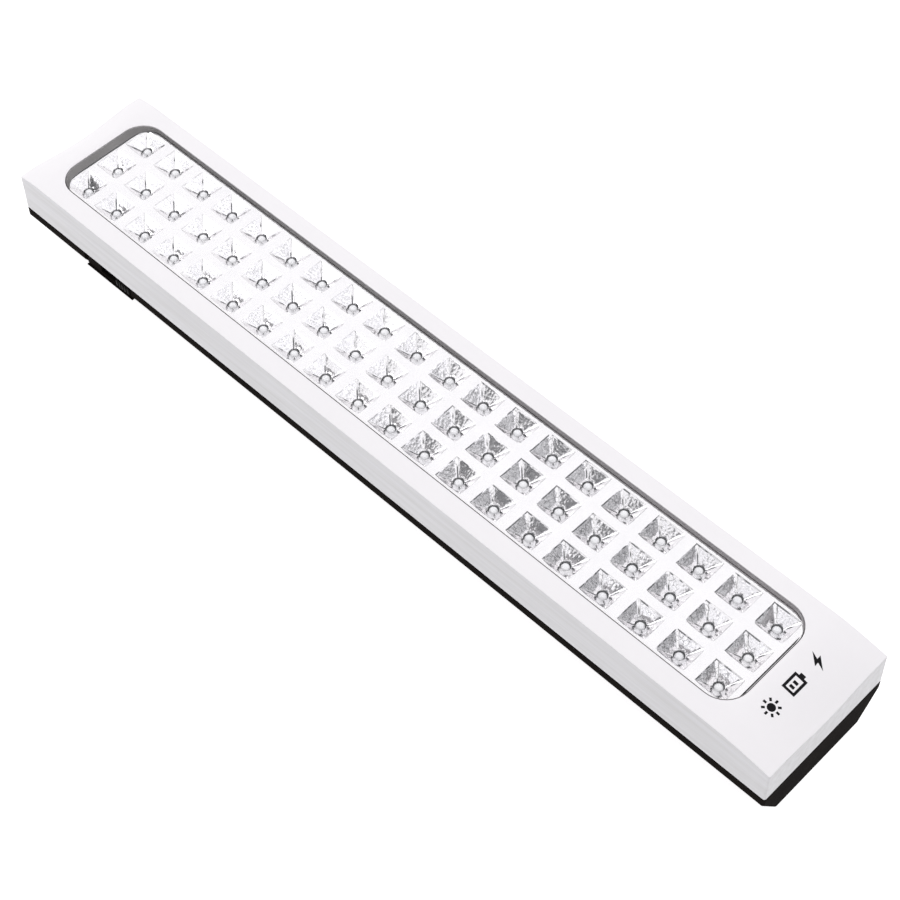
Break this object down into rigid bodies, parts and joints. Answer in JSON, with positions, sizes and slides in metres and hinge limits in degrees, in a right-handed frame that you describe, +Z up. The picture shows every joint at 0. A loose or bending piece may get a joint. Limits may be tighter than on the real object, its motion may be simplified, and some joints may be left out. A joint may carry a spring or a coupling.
{
  "type": "rechargeable emergency light",
  "caption": "Slim bar light with a white top shell, a black tapered base, a clear window over rows of mirrored lamp cups, a slide switch on its side and a charging inlet.",
  "frame": {"origin": "centre of the flat bottom that the light lies on", "axes": "+X along the body towards the plain end, away from the switch and inlet; +Z up out of the window"},
  "size_m": [0.335, 0.055, 0.033],
  "materials": {
    "white_plastic": "satin moulded",
    "black_plastic": "fine spark texture",
    "steel_screw": "bright zinc",
    "grey_gasket": "satin",
    "clear_lens": "polished clear",
    "metallised_reflector": "vacuum metallised mirror",
    "circuit_board": "bare laminate",
    "cell_sleeve": "shrink sleeve",
    "nickel": "bright nickel",
    "foam": "open foam",
    "yellow_film": "dipped box",
    "component_black": "moulded",
    "blue_sleeve": "shrink sleeve",
    "resistor_brown": "lacquered",
    "knob_plastic": "moulded ribs",
    "inlet_plastic": "moulded",
    "red_lamp": "clear tinted",
    "wire_black": "insulation",
    "wire_red": "insulation",
    "wire_brown": "insulation",
    "wire_blue": "insulation"
  },
  "bodies": {
    "casing": {"top_shell": "white_plastic", "base_shell": "black_plastic", "case_screw_1": "steel_screw", "case_screw_2": "steel_screw", "case_screw_3": "steel_screw", "case_screw_4": "steel_screw", "window_gasket": "grey_gasket", "lens": "clear_lens", "reflector": "metallised_reflector", "led_board": "circuit_board", "board_screw_1": "steel_screw", "board_screw_2": "steel_screw", "board_screw_3": "steel_screw", "board_screw_4": "steel_screw", "battery_cell_1": "cell_sleeve", "battery_cell_2": "cell_sleeve", "battery_cell_3": "cell_sleeve", "cell_link_1": "nickel", "cell_link_2": "nickel", "negative_tab": "nickel", "positive_tab": "nickel", "battery_pad_1": "foam", "battery_pad_2": "foam", "charger_board": "circuit_board", "dropper_capacitor": "yellow_film", "bridge_rectifier": "component_black", "smoothing_capacitor": "blue_sleeve", "bleed_resistor": "resistor_brown", "driver_transistor": "component_black", "fuse": "nickel", "switch_plate": "black_plastic", "switch_body": "nickel", "inlet_housing": "inlet_plastic", "inlet_pin_1": "nickel", "inlet_pin_2": "nickel", "charge_indicator": "red_lamp", "battery_wire_negative": "wire_black", "battery_wire_positive": "wire_red", "inlet_wire_live": "wire_brown", "inlet_wire_neutral": "wire_blue"},
    "switch_slider": {"switch_knob": "knob_plastic", "switch_contact": "nickel"}
  },
  "joints": [
    {"name": "switch_slide", "type": "slide", "parent": "casing", "child": "switch_slider", "axis": [1, 0, 0], "range_m": [-0.008, 0]}
  ]
}
